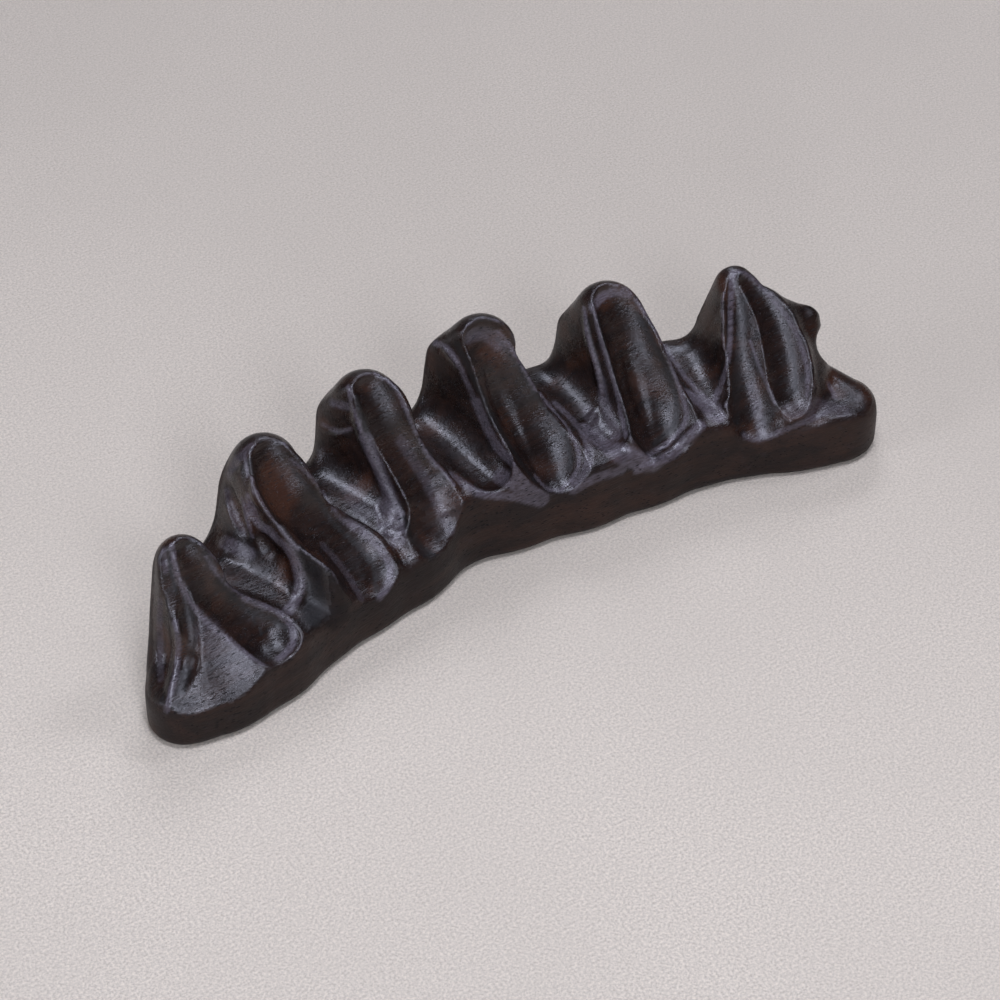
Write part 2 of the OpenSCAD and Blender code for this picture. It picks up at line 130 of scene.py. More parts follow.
# The neck under the shoulder at the right end: path of the middle of a ball, and its radius, mm.
NECK = [[83.2, -6.8, 25.4, 5], [88.7, 2.1, 16, 5]]

# Camera of the reference view, in the drawn frame (mm); focal length in pixels of a 1000-pixel frame.
EYE = np.array([-265.95, -431.98, 468.39])
LOOK = np.array([0.3883, 0.6336, -0.6691]); LOOK /= np.linalg.norm(LOOK)
SIDE = np.cross(LOOK, [0, 0, 1]); SIDE /= np.linalg.norm(SIDE)
UP = np.cross(SIDE, LOOK)
FOCAL = 3150.0

# Knife strokes placed on the surface, in the reference view:
# (kind, [(x, y) in the 1000-pixel frame, ...], width mm, depth mm, softness mm, taper).
# kind "-" is a groove, "+" a raised ridge; taper is the share of the length over which each end fades.
STROKES = [
    # first peak: left crest, leaf-shaped gouge, side valley, end ridge
    ("+", [(172, 548), (177, 568), (185, 590), (196, 610)], 1.8, 0.5, 0.3, 0.2),
    ("-", [(161, 594), (163, 630), (162, 662), (161, 692)], 4.4, 1.1, 0.15, 0.5),
    ("-", [(163, 550), (165, 568)], 2.2, 0.5, 0.15, 0.4),
    ("+", [(174, 612), (177, 640), (176, 664), (170, 690), (165, 714)], 2.0, 0.7, 0.4, 0.3),
    ("-", [(181, 588), (187, 618), (190, 642), (187, 668), (180, 694)], 3.8, 1.1, 0.6, 0.4),
    # first saddle
    ("+", [(222, 541), (242, 552)], 5.0, 0.8, 1.0, 0.4),
    ("+", [(280, 532), (290, 550), (297, 571), (299, 588), (292, 604)], 3.4, 0.9, 0.9, 0.3),
    # second peak, left face
    ("-", [(228, 483), (231, 502), (239, 521), (246, 534)], 5.6, 1.5, 0.15, 0.5),
    ("+", [(241, 496), (246, 516), (251, 536)], 1.5, 0.6, 0.3, 0.3),
    ("-", [(250, 500), (254, 516), (261, 532)], 3.0, 0.8, 0.2, 0.5),
    ("-", [(257, 532), (268, 547), (279, 557)], 4.4, 1.1, 0.3, 0.45),
    ("-", [(226, 470), (241, 463)], 3.8, 0.7, 0.2, 0.4),
    ("-", [(324, 540), (345, 568), (360, 596)], 4.8, 0.6, 0.4, 0.3),
    ("-", [(332, 556), (343, 577), (353, 602)], 2.0, 0.4, 0.2, 0.3),
    # second saddle
    ("+", [(353, 398), (357, 420), (366, 445), (378, 472), (389, 496), (397, 512)], 2.6, 0.8, 0.5, 0.2),
    ("+", [(388, 500), (391, 520), (393, 536)], 5.5, 1.1, 0.8, 0.4),
    # third peak, left face
    ("-", [(330, 399), (347, 404)], 4.4, 0.6, 0.3, 0.4),
    ("+", [(325, 431), (338, 434), (351, 429)], 1.8, 0.6, 0.4, 0.4),
    # third saddle
    ("+", [(441, 345), (452, 357), (462, 371)], 1.8, 0.6, 0.4, 0.35),
    # fourth trough
    ("-", [(484, 356), (494, 388), (511, 424), (534, 466)], 4.4, 0.9, 0.3, 0.5),
    # fourth saddle
    ("+", [(584, 312), (589, 340), (597, 368), (601, 394)], 2.0, 0.8, 0.4, 0.25),
    ("+", [(596, 408), (588, 424), (572, 430)], 2.4, 0.7, 0.6, 0.3),
    # fifth trough
    ("-", [(622, 340), (634, 380), (646, 420), (652, 438)], 4.0, 0.7, 0.3, 0.5),
    ("+", [(702, 425), (686, 437), (672, 451), (655, 462), (640, 468)], 3.0, 0.9, 0.5, 0.25),
    # sixth peak
    ("-", [(826, 378), (834, 394)], 3.0, 0.5, 0.3, 0.4),
]

# Rubbed, paler places, partly real wear and partly painted highlight on lit crests, lips and facets: (points in the
# reference view, width mm, strength).
WEAR_AND_HIGHLIGHT = [
    # first peak
    ([(171, 546), (174, 565), (182, 588), (196, 611), (215, 630), (240, 649), (262, 664)], 1.6, 0.9),
    ([(162, 550), (165, 570)], 1.6, 0.7),
    ([(207, 630), (222, 652), (240, 668)], 7.0, 0.22),
    ([(244, 597), (262, 605), (280, 613), (290, 625), (293, 639), (288, 650), (278, 659)], 2.2, 1.0),
    ([(205, 556), (218, 576), (232, 588), (248, 599)], 0.9, 0.7),
    ([(174, 622), (177, 645), (176, 668), (170, 690), (165, 712)], 1.7, 0.8),
    ([(158, 600), (159, 640), (160, 680)], 1.8, 0.4),
    # first saddle and second peak
    ([(248, 498), (256, 518), (272, 535), (287, 550), (296, 568), (299, 586), (293, 603), (287, 611)], 3.0, 0.85),
    ([(244, 453), (247, 474), (256, 491), (266, 509), (284, 534), (298, 549)], 1.1, 0.8),
    ([(222, 541), (234, 547), (248, 553)], 3.6, 0.6),
    ([(228, 474), (236, 459), (250, 446)], 3.0, 0.45),
    ([(226, 490), (232, 512), (244, 532)], 2.2, 0.4),
    ([(241, 498), (246, 520), (251, 537)], 1.2, 0.8),
    ([(290, 458), (318, 485), (335, 512), (352, 529)], 1.0, 0.7),
    ([(348, 522), (366, 535), (382, 551), (390, 568), (388, 584), (380, 597)], 2.2, 1.0),
    ([(322, 545), (343, 570), (360, 598)], 2.4, 0.35),
    # second saddle and third peak
    ([(348, 386), (351, 404), (358, 424), (367, 447), (378, 472), (390, 496), (402, 514)], 1.4, 0.9),
    ([(364, 440), (377, 470), (388, 496), (395, 520), (397, 540)], 4.4, 0.85),
    ([(384, 508), (388, 528)], 6.0, 0.7),
    ([(350, 492), (362, 512)], 5.0, 0.35),
    ([(332, 402), (350, 406)], 2.6, 0.55),
    ([(322, 424), (338, 431), (350, 428)], 1.4, 0.5),
    ([(373, 371), (393, 385), (404, 406), (415, 431), (427, 452), (440, 468), (454, 484)], 1.1, 0.9),
    ([(424, 449), (436, 465)], 1.8, 0.8),
    ([(400, 440), (425, 480), (450, 530)], 3.0, 0.35),
    # third saddle and fourth peak
    ([(434, 342), (448, 348), (460, 368), (471, 392), (480, 414)], 1.8, 0.8),
    ([(476, 402), (485, 424), (496, 445), (511, 462), (524, 482)], 3.6, 0.9),
    ([(500, 476), (520, 486), (542, 500)], 4.6, 0.85),
    ([(452, 474), (470, 488), (490, 495), (515, 497), (540, 503)], 2.6, 0.85),
    ([(468, 336), (484, 332), (500, 344)], 4.0, 0.5),
    ([(497, 330), (516, 354), (532, 383), (548, 404), (565, 424), (576, 444), (579, 460), (574, 476), (562, 488)], 1.3, 0.95),
    ([(556, 404), (578, 426), (588, 446), (587, 466), (574, 486)], 2.6, 0.8),
    ([(535, 476), (546, 488), (562, 490)], 1.4, 0.7),
    # fourth saddle and fifth peak
    ([(586, 432), (606, 446), (632, 458), (655, 466)], 6.0, 0.95),
    ([(574, 490), (596, 478), (622, 470)], 3.0, 0.8),
    ([(588, 412), (600, 430)], 4.0, 0.5),
    ([(584, 308), (585, 326), (592, 352), (600, 378), (603, 402)], 1.6, 0.95),
    ([(592, 308), (600, 297), (613, 291), (628, 293)], 2.6, 0.95),
    ([(594, 306), (598, 330), (606, 356), (614, 384), (620, 410), (626, 436)], 1.7, 0.95),
    ([(600, 380), (606, 408), (616, 436)], 3.4, 0.6),
    ([(636, 298), (652, 322), (666, 350), (678, 383), (686, 410), (682, 428), (666, 444), (642, 459)], 1.5, 0.95),
    ([(664, 345), (684, 375), (706, 400)], 1.6, 0.85),
    ([(638, 470), (656, 463), (674, 452), (688, 437), (702, 424)], 3.0, 0.9),
    # fifth saddle and sixth peak
    ([(690, 396), (704, 404), (716, 414)], 6.0, 0.95),
    ([(733, 272), (731, 292), (730, 322), (729, 350), (723, 378), (714, 400)], 2.0, 0.95),
    ([(738, 270), (752, 276), (766, 290), (781, 308), (794, 327), (803, 350), (808, 374), (807, 394)], 1.5, 0.8),
    ([(750, 340), (762, 372), (775, 404)], 0.9, 0.8),
    ([(752, 385), (758, 412), (762, 434)], 3.0, 0.45),
    ([(744, 435), (758, 440), (776, 434), (800, 423), (828, 411)], 1.8, 0.6),
    ([(790, 412), (815, 406), (842, 410)], 5.0, 0.35),
    ([(828, 384), (835, 397)], 1.6, 0.8),
]
# Painted shade: dark lines along creases and darkened hollows, the same way.
SHADE_STROKES = [
    ([(169, 552), (170, 570), (175, 592)], 0.7, 0.9),
    ([(165, 600), (170, 640), (168, 680), (160, 700)], 0.8, 0.7),
    ([(186, 598), (191, 630), (189, 660), (181, 690)], 2.6, 0.6),
    ([(216, 708), (217, 728)], 0.5, 0.9),
    ([(203, 552), (216, 575), (232, 596), (250, 612), (270, 618), (284, 628)], 1.6, 0.6),
    ([(250, 462), (258, 490), (272, 514), (292, 543), (312, 566)], 2.4, 0.6),
    ([(304, 552), (312, 574), (316, 596), (312, 618)], 5.5, 0.85),
    ([(228, 470), (242, 466)], 0.8, 0.6),
    ([(240, 500), (246, 524), (250, 540)], 0.7, 0.7),
    ([(292, 470), (314, 494), (332, 522), (356, 545), (372, 565), (375, 590)], 1.4, 0.6),
    ([(335, 560), (352, 606)], 0.6, 0.6),
    ([(357, 396), (362, 420), (373, 450), (386, 484), (402, 516), (412, 540)], 2.0, 0.65),
    ([(325, 432), (352, 432)], 0.8, 0.6),
    ([(404, 408), (416, 434), (430, 458), (446, 478)], 1.0, 0.6),
    ([(457, 344), (470, 372), (484, 400), (500, 430), (520, 462), (534, 480)], 2.2, 0.7),
    ([(497, 338), (520, 368), (542, 404), (560, 428), (569, 448), (570, 470)], 1.4, 0.6),
    ([(587, 318), (592, 345), (601, 372), (607, 398)], 0.9, 0.9),
    ([(598, 316), (604, 344), (613, 372), (622, 402), (630, 436)], 2.0, 0.6),
    ([(636, 312), (652, 340), (668, 372), (676, 400), (674, 424), (654, 444)], 1.6, 0.65),
    ([(655, 346), (672, 372), (690, 392)], 1.4, 0.7),
    ([(729, 288), (728, 320), (726, 350), (718, 382)], 0.6, 0.9),
    ([(742, 300), (741, 340), (736, 380), (736, 420)], 3.0, 0.5),
    ([(752, 352), (765, 382), (774, 402)], 0.8, 0.7),
    ([(786, 330), (794, 360), (796, 392)], 1.2, 0.5),
    ([(420, 545), (436, 556)], 0.6, 0.8),
    ([(418, 552), (430, 561)], 0.5, 0.8),
    ([(250, 614), (262, 636)], 0.5, 0.7),
    ([(316, 566), (328, 590), (336, 616)], 9.0, 0.55),
    ([(226, 520), (242, 545), (262, 570)], 4.0, 0.3),
    ([(560, 388), (584, 402)], 5.0, 0.25),
    ([(402, 520), (414, 540), (430, 556)], 3.0, 0.5),
]


# ------------------------------------------------------------------ distance functions
def smin(a, b, k):
    h = np.clip(0.5 + 0.5 * (b - a) / k, 0, 1)
    return b + (a - b) * h - k * h * (1 - h)


def smax(a, b, k):
    return -smin(-a, -b, k)


def d_bar(x, y, z, a, b):
    ex, ey, ez = b[0] - a[0], b[1] - a[1], b[2] - a[2]
    px, py, pz = x - a[0], y - a[1], z - a[2]
    t = np.clip((px * ex + py * ey + pz * ez) / (ex * ex + ey * ey + ez * ez + 1e-12), 0, 1)
    px, py, pz = px - t * ex, py - t * ey, pz - t * ez
    return np.sqrt(px * px + py * py + pz * pz) - (a[3] + t * (b[3] - a[3]))


def d_slot(x, y, z, a, b):
    ex, ey, ez = b[0] - a[0], b[1] - a[1], b[2] - a[2]
    px, py, pz = x - a[0], y - a[1], z - a[2]
    t = np.clip((px * ex + py * ey) / (ex * ex + ey * ey + 1e-12), 0, 1)
    px, py, pz = px - t * ex, py - t * ey, pz - t * ez
    above = np.sqrt(px * px + py * py) - (a[3] + t * (b[3] - a[3])) - 0.08 * pz
    return np.minimum(d_bar(x, y, z, a, b), np.where(pz > 0, above, 1e3))


def d_plate(x, y, z, T):
    a, b, c = T
    e = [b[i] - a[i] for i in range(3)]
    f = [c[i] - a[i] for i in range(3)]
    ee = sum(q * q for q in e); ff = sum(q * q for q in f); ef = sum(p * q for p, q in zip(e, f))
    px, py, pz = x - a[0], y - a[1], z - a[2]
    m = px * e[0] + py * e[1] + pz * e[2]
    o = px * f[0] + py * f[1] + pz * f[2]
    g = ee * ff - ef * ef + 1e-9
    u = (ff * m - ef * o) / g
    w = (ee * o - ef * m) / g
    n = np.cross(e, f); n = n / np.linalg.norm(n)
    flat = np.abs(px * n[0] + py * n[1] + pz * n[2]) - (a[3] + u * (b[3] - a[3]) + w * (c[3] - a[3]))
    edge = np.minimum(np.minimum(d_bar(x, y, z, a, b), d_bar(x, y, z, b, c)), d_bar(x, y, z, c, a))
    return np.where((u >= 0) & (w >= 0) & (u + w <= 1), np.minimum(edge, flat), edge)


def smooth_table(t, n=8):
    xs, ys = np.array(t, float).T
    m = np.zeros_like(ys)
    m[1:-1] = (ys[2:] - ys[:-2]) / (xs[2:] - xs[:-2])
    m[0] = (ys[1] - ys[0]) / (xs[1] - xs[0]); m[-1] = (ys[-1] - ys[-2]) / (xs[-1] - xs[-2])
    X, Y = [], []
    for i in range(len(xs) - 1):
        h = xs[i + 1] - xs[i]
        for k in range(n):
            u = k / n
            X.append(xs[i] + u * h)
            Y.append((2*u**3 - 3*u*u + 1)*ys[i] + (u**3 - 2*u*u + u)*h*m[i]
                     + (3*u*u - 2*u**3)*ys[i + 1] + (u**3 - u*u)*h*m[i + 1])
    return np.array(X + [xs[-1]]), np.array(Y + [ys[-1]])


def run_normal(s, i):
    a = np.array(s[max(0, i - 1)][:3], float); b = np.array(s[min(len(s) - 1, i + 1)][:3], float)
    d = b - a; d /= np.linalg.norm(d)
    h = math.hypot(d[0], d[1])
    return np.array([-d[2] * d[0] / h, -d[2] * d[1] / h, h])


def blade(pk):
    s, c = pk[5], []
    for i, (x, y, z, w, h) in enumerate(s):
        r = w + pk[3]
        q = np.array([x + pk[4], y, z]) - math.sqrt(r * r - w * w) * run_normal(s, i)
        c.append((*q, r))
    return ([(pk[0], c[1], pk[2]), (pk[0], pk[1], pk[2])] + [(a, b, pk[2]) for a, b in zip(c[1:-1], c[2:])])


def dense(rows, n=4):
    """Rows of a table joined by a smooth curve, n steps to a row."""
    P = np.array(rows, float)
    P = np.vstack([2 * P[0] - P[1], P, 2 * P[-1] - P[-2]])
    out = []
    for i in range(1, len(P) - 2):
        for u in np.arange(n) / n:
            out.append(0.5 * (2 * P[i] + (P[i + 1] - P[i - 1]) * u + (2 * P[i - 1] - 5 * P[i] + 4 * P[i + 1] - P[i + 2]) * u * u
                              + (3 * P[i] - P[i - 1] - 3 * P[i + 1] + P[i + 2]) * u ** 3))
    return out + [P[-2]]


def flute(s):
    s = dense(s)
    c = []
    for i, (x, y, z, w, h) in enumerate(s):
        r = (w * w + h * h) / (2 * h)
        c.append((*(np.array([x, y, z]) + (r - h) * run_normal(s, i)), r))
    return c


def saddle_run(s):
    s = dense(s, 3)
    return [(*(np.array(q[:3]) + q[3] * run_normal(s, i)), q[3]) for i, q in enumerate(s)]


def rim(s, rims):
    """Beads beside a trough's edges: two runs of spheres, and one round its lower end."""
    left, right, end, outer = rims
    rows = dense([[*q, a, b] for q, a, b in zip(s, left, right)])
    runs, frame_ = [], []
    for i, (x, y, z, w, h, ra, rb) in enumerate(rows):
        a = rows[max(0, i - 1)][:3]; b = rows[min(len(rows) - 1, i + 1)][:3]
        d = b - a; d /= np.linalg.norm(d)
        n = run_normal(rows, i)
        frame_.append((np.array([x, y, z], float), d, n, np.cross(d, n), w, ra, rb))
    for side, k in ((1, 5), (-1, 6)):
        run = [(*(q[0] + side * (q[4] + 0.45 * q[k]) * q[3] - 0.72 * q[k] * q[2]), q[k]) for q in frame_ if q[k] > 0.25]
        if len(run) > 1:
            runs.append(run)
    if end:
        p, d, n, l, w = frame_[-1][:5]
        run = [runs[1][-1]]
        for k, r in enumerate(end):
            t = math.radians(180 - 42 * (k + 1))
            run.append((*(p + (w + 0.45 * r) * (math.cos(t) * l + math.sin(t) * d) - 0.72 * r * n), r))
        runs.append(run)
    return runs


def ball(pts):
    P = np.array([p[:3] for p in pts], float); c = (P.min(0) + P.max(0)) / 2
    return c, max(np.linalg.norm(p - c) + q[3] for p, q in zip(P, pts))


TX = {k: smooth_table(v) for k, v in (("roof", SADDLE), ("ridge", RIDGE), ("front", SHOULDER))}


class Carving:
    def __init__(self):
        self.groups = [[(t, ball(t)) for t in blade(p)] for p in PEAKS] + [[(tuple(map(tuple, e)), ball(e)) for e in END_PLATES]]
        self.cuts = [(saddle_run(s), 1.3, True) for s in SADDLE_CUTS]
        self.cuts += [(flute(p[5]), 0.5, False) for p in PEAKS[:5]] + [(flute(s), 0.5, False) for s in TWIN_FLUTES]
        self.rims = [r for t, q in zip([p[5] for p in PEAKS[:5]] + TWIN_FLUTES, RIMS) for r in rim(t, q)]
        self.strokes = []
        self.prep()

    def prep(self):
        self.cut_balls = [[ball(c[i:i + 2]) for i in range(len(c) - 1)] for c, k, u in self.cuts]
        self.rim_balls = [[ball(c[i:i + 2]) for i in range(len(c) - 1)] for c in self.rims]
        self.stroke_balls = [[ball(c[i:i + 2]) for i in range(len(c) - 1)] for s, c, k in self.strokes]

    def near(self, c, R, slab=0.0):
        """The solids and cuts that matter within R of c, or within slab/2 of c's x if R is None."""
        if R is None:
            hit = lambda b, m: abs(b[0][0] - c[0]) < b[1] + slab / 2 + m
            hit2 = hit
        else:
            hit = lambda b, m: np.linalg.norm(b[0] - c) < b[1] + R + m
            hit2 = lambda b, m: math.hypot(b[0][0] - c[0], b[0][1] - c[1]) < b[1] + R + m + 4
        G = [[t for t, b in g if hit(b, 6.5)] for g in self.groups]
        G = [g for g in G if g]
        L = []
        for pts, bs in zip(self.rims, self.rim_balls):
            ii = [i for i, b in enumerate(bs) if hit(b, 2.0)]
            if ii:
                L.append((pts, ii))
        C = []
        for (pts, k, open_top), bs in zip(self.cuts, self.cut_balls):
            ii = [i for i, b in enumerate(bs) if (hit2(b, 2.5) if open_top else hit(b, k + 1.5))]
            if ii:
                C.append((pts, k, open_top, ii))
        S = []
        for (sign, pts, k), bs in zip(self.strokes, self.stroke_balls):
            ii = [i for i, b in enumerate(bs) if hit(b, k + 0.8)]
            if ii:
                S.append((sign, pts, k, ii))
        return G, C, S, L

    def side(self, x, y, z):
        """Distance from the side wall that rises from the foot's outline."""
        lo, hi = x.min() - 6, x.max() + 6
        d2 = None
        for a, b in zip(FOOT[:-1], FOOT[1:]):
            if min(a[0] - a[2], b[0] - b[2]) < hi and max(a[0] + a[2], b[0] + b[2]) > lo:
                ex, ey = b[0] - a[0], b[1] - a[1]
                t = np.clip(((x - a[0]) * ex + (y - a[1]) * ey) / (ex * ex + ey * ey), 0, 1)
                q = np.hypot(x - a[0] - t * ex, y - a[1] - t * ey) - (a[2] + t * (b[2] - a[2]))
                d2 = q if d2 is None else smin(d2, q, 3.0)
        if d2 is None:
            d2 = np.full_like(x, 9.0)
        return d2 + np.where(z < 2.5, 2.5 - np.sqrt(np.clip(6.25 - (2.5 - z) ** 2, 0, None)), 0.0) + np.clip(z - 8, 0, None) * 0.06

    def f(self, x, y, z, near):
        G, C, S, L = near
        zr = np.interp(x, *TX["roof"]); zs = np.interp(x, *TX["front"])
        v = y - np.interp(x, *TX["ridge"])
        roof = np.where(v < 0, zr + (zs - zr) * np.clip(-v / 20, 0, 1.3), zr - 0.25 * v)
        d = (z - roof) * 0.75
        for g in G:
            q = None
            for t in g:
                w = d_plate(x, y, z, t)
                q = w if q is None else smin(q, w, 1.0)
            d = smin(d, q, 4.0)
        for pts, ii in L:
            q = None
            for i in ii:
                w = d_bar(x, y, z, pts[i], pts[i + 1])
                q = w if q is None else np.minimum(q, w)
            d = smin(d, q, 0.9)
        d = smax(d, self.side(x, y, z), 1.3)
        for pts, k, open_top, ii in C:
            fn = d_slot if open_top else d_bar
            q = None
            for i in ii:
                w = fn(x, y, z, pts[i], pts[i + 1])
                q = w if q is None else np.minimum(q, w)
            d = smax(d, -q, k)
        for sign, pts, k, ii in S:
            q = None
            for i in ii:
                w = d_bar(x, y, z, pts[i], pts[i + 1])
                q = w if q is None else np.minimum(q, w)
            d = smax(d, -q, k) if sign < 0 else smin(d, q, k)
        return np.maximum(d, -z)

    def at(self, P, slope=True):
        """Distance at a few points, and the outward direction there."""
        P = np.atleast_2d(P)
        n = self.near(np.array([(P[:, 0].min() + P[:, 0].max()) / 2, 0, 0]), None, np.ptp(P[:, 0]) + 2)
        F = self.f(P[:, 0], P[:, 1], P[:, 2], n)
        if not slope:
            return F
        g = np.stack([self.f(P[:, 0] + 0.3 * (i == 0), P[:, 1] + 0.3 * (i == 1), P[:, 2] + 0.3 * (i == 2), n)
                      - self.f(P[:, 0] - 0.3 * (i == 0), P[:, 1] - 0.3 * (i == 1), P[:, 2] - 0.3 * (i == 2), n) for i in range(3)], 1)
        return F, g / np.maximum(np.linalg.norm(g, axis=1, keepdims=True), 1e-6)

    def see(self, px, py):
        """Where the lines of sight through (px, py) first meet the carving, and the outward directions there."""
        px, py = np.atleast_1d(px), np.atleast_1d(py)
        d = LOOK * FOCAL + SIDE * (px[:, None] - 500) - UP * (py[:, None] - 500)
        d /= np.linalg.norm(d, axis=1, keepdims=True)
        t = (58 - EYE[2]) / d[:, 2]
        end = (-2 - EYE[2]) / d[:, 2]
        for _ in range(160):
            P = EYE + t[:, None] * d
            f = self.at(P, False)
            step = np.where((f < 0.02) | (t > end), 0.0, np.maximum(0.04, f * 0.8))
            if not step.any():
                break
            t = t + step
        P = EYE + t[:, None] * d
        return P, self.at(P)[1]


def catmull(pts, gap):
    P = np.array(pts, float)
    P = np.vstack([2 * P[0] - P[1], P, 2 * P[-1] - P[-2]])
    out = []
    for i in range(1, len(P) - 2):
        n = max(1, int(round(np.linalg.norm(P[i + 1] - P[i]) / gap)))
        for k in range(n):
            u = k / n
            out.append(0.5 * (2 * P[i] + (P[i + 1] - P[i - 1]) * u + (2 * P[i - 1] - 5 * P[i] + 4 * P[i + 1] - P[i + 2]) * u * u
                              + (3 * P[i] - P[i - 1] - 3 * P[i + 1] + P[i + 2]) * u ** 3))
    out.append(P[-2])
    return np.array(out)


def place_stroke(body, kind, pts, width, depth, soft, taper):
    L = catmull(pts, 9.0)
    s = np.r_[0, np.cumsum(np.linalg.norm(np.diff(L, axis=0), axis=1))]; s /= s[-1]
    c = []
    hit, out = body.see(L[:, 0], L[:, 1])
    for p, n, u in zip(hit, out, s):
        e = min(1.0, min(u, 1 - u) / taper) if taper > 0 else 1.0
        e = 0.12 + 0.88 * math.sin(e * math.pi / 2)
        w, h = width / 2 * (0.18 + 0.82 * e), depth * e
        r = (w * w + h * h) / (2 * h)
        c.append((*(p + n * (r - h) * (1 if kind == "-" else -1)), r))
    return (-1 if kind == "-" else 1, c, soft)


def place_scoop(pts, out, radius, soft):
    n = np.array(out, float); n /= np.linalg.norm(n)
    c = []
    for px, py, z in pts:
        d = LOOK * FOCAL + SIDE * (px - 500) - UP * (py - 500)
        c.append((*(EYE + d * (z - EYE[2]) / d[2] + n * radius), radius))
    return (-1, c, soft)


# ------------------------------------------------------------------ mesh of the carving
def surface_nets(body, lo, hi, h, B=8):
    n = [int(np.ceil((hi[i] - lo[i]) / h / B)) * B for i in range(3)]
    N = [m + 1 for m in n]
    G = np.full(N, 9.0, np.float32)
    nb = [m // B for m in n]
    cx, cy, cz = (lo[i] + (np.arange(nb[i]) + 0.5) * B * h for i in range(3))
    R = B * h * math.sqrt(3) / 2
    live = []
    for i in range(nb[0]):
        Y, Z = np.meshgrid(cy, cz, indexing="ij")
        f = body.f(np.full_like(Y, cx[i]), Y, Z, body.near(np.array([cx[i], 0, 0]), None, B * h))
        for j in range(nb[1]):
            for k in range(nb[2]):
                if abs(f[j, k]) < R * 1.35 + 1.0:
                    live.append((i, j, k))
                else:
                    G[i*B:i*B+B+1, j*B:j*B+B+1, k*B:k*B+B+1] = 9.0 if f[j, k] > 0 else -9.0
    ax = np.arange(B + 1) * h
    for i, j, k in live:
        o = np.array([lo[0] + i * B * h, lo[1] + j * B * h, lo[2] + k * B * h])
        X, Y, Z = np.meshgrid(o[0] + ax, o[1] + ax, o[2] + ax, indexing="ij")
        G[i*B:i*B+B+1, j*B:j*B+B+1, k*B:k*B+B+1] = body.f(X, Y, Z, body.near(o + B * h / 2, R))
    S = G < 0
    cells = [S[a:N[0]-1+a, b:N[1]-1+b, c:N[2]-1+c] for a in (0, 1) for b in (0, 1) for c in (0, 1)]
    count = sum(s.astype(np.int8) for s in cells)
    mixed = (count > 0) & (count < 8)
    ci = np.argwhere(mixed)
    idx = np.full(mixed.shape, -1, np.int32); idx[mixed] = np.arange(len(ci))
    corners = np.array([(a, b, c) for a in (0, 1) for b in (0, 1) for c in (0, 1)])
    vals = np.stack([G[ci[:, 0] + a, ci[:, 1] + b, ci[:, 2] + c] for a, b, c in corners], 1)
    acc = np.zeros((len(ci), 3)); num = np.zeros(len(ci))
    for p in range(8):
        for q in range(p + 1, 8):
            if np.abs(corners[p] - corners[q]).sum() != 1:
                continue
            m = (vals[:, p] < 0) != (vals[:, q] < 0)
            t = vals[m, p] / (vals[m, p] - vals[m, q])
            acc[m] += corners[p] + t[:, None] * (corners[q] - corners[p]); num[m] += 1
    V = np.array(lo) + (ci + acc / num[:, None]) * h
    Q = []
    for axis in range(3):
        s0 = [slice(None)] * 3; s1 = [slice(None)] * 3
        s0[axis] = slice(0, N[axis] - 1); s1[axis] = slice(1, N[axis])
        A, C = S[tuple(s0)], S[tuple(s1)]
        e = np.argwhere(A != C)
        o = [a for a in range(3) if a != axis]
        ok = (e[:, o[0]] > 0) & (e[:, o[1]] > 0) & (e[:, o[0]] < N[o[0]] - 1) & (e[:, o[1]] < N[o[1]] - 1)
        e = e[ok]
        up = A[e[:, 0], e[:, 1], e[:, 2]]

        def cell(d0, d1):
            f = e.copy(); f[:, o[0]] -= d0; f[:, o[1]] -= d1
            return idx[f[:, 0], f[:, 1], f[:, 2]]
        q = np.stack([cell(1, 1), cell(0, 1), cell(0, 0), cell(1, 0)], 1)
        flip = up if axis != 1 else ~up
        q[~flip] = q[~flip][:, ::-1]
        Q.append(q)
    return V, np.concatenate(Q)


def by_x(body, V, size=3200):
    order = np.argsort(V[:, 0], kind="stable")
    for a in range(0, len(order), size):
        ii = order[a:a + size]
        lo, hi = V[ii, 0].min(), V[ii, 0].max()
        yield ii, body.near(np.array([(lo + hi) / 2, 0, 0]), None, hi - lo + 1.5)


def settle(body, V, rounds=3, eps=0.02):
    """Moves each point onto the surface along the distance's slope."""
    out = V.copy()
    for ii, near in by_x(body, V):
        P = V[ii].copy()
        for _ in range(rounds):
            f = body.f(P[:, 0], P[:, 1], P[:, 2], near)
            g = np.stack([body.f(P[:, 0] + eps * (k == 0), P[:, 1] + eps * (k == 1), P[:, 2] + eps * (k == 2), near) - f for k in range(3)], 1) / eps
            s = (f / np.clip((g * g).sum(1), 0.15, None))[:, None] * g
            s *= np.minimum(1, 0.35 / np.clip(np.linalg.norm(s, axis=1, keepdims=True), 1e-9, None))
            P = P - 0.9 * s
        P[:, 2] = np.maximum(P[:, 2], 0)
        out[ii] = P
    return out


body = Carving()
body.strokes = [place_scoop(*s) for s in SCOOPS] + [(-1, [tuple(q) for q in NECK], 0.6)]
body.prep()
body.strokes = body.strokes + [place_stroke(body, *s) for s in STROKES]
body.prep()
V, Q = surface_nets(body, (-97, -26, -1.5), (95, 30, 54), STEP)
V = settle(body, V)
V[np.abs(V[:, 2]) < 0.04, 2] = 0.0
P = (V + np.array(SHIFT)) / 1000.0
for k in range(3):
    lo, hi = P[:, k].min(), P[:, k].max()
    a, b = max(lo, CAD_BOX[0][k]), min(hi, CAD_BOX[1][k])
    P[:, k] = a + (P[:, k] - lo) * (b - a) / (hi - lo)

# Bend of the surface (positive where it is hollow) at two scales, and the plain side walls.
E = np.concatenate([Q[:, [0, 1]], Q[:, [1, 2]], Q[:, [2, 3]], Q[:, [3, 0]]])
deg = np.bincount(E[:, 0], minlength=len(V)) + np.bincount(E[:, 1], minlength=len(V))


def around(values):
    """Mean of each point's neighbours."""
    s = np.bincount(E[:, 0], values[E[:, 1]], len(V)) + np.bincount(E[:, 1], values[E[:, 0]], len(V))
    return s / np.maximum(deg, 1)


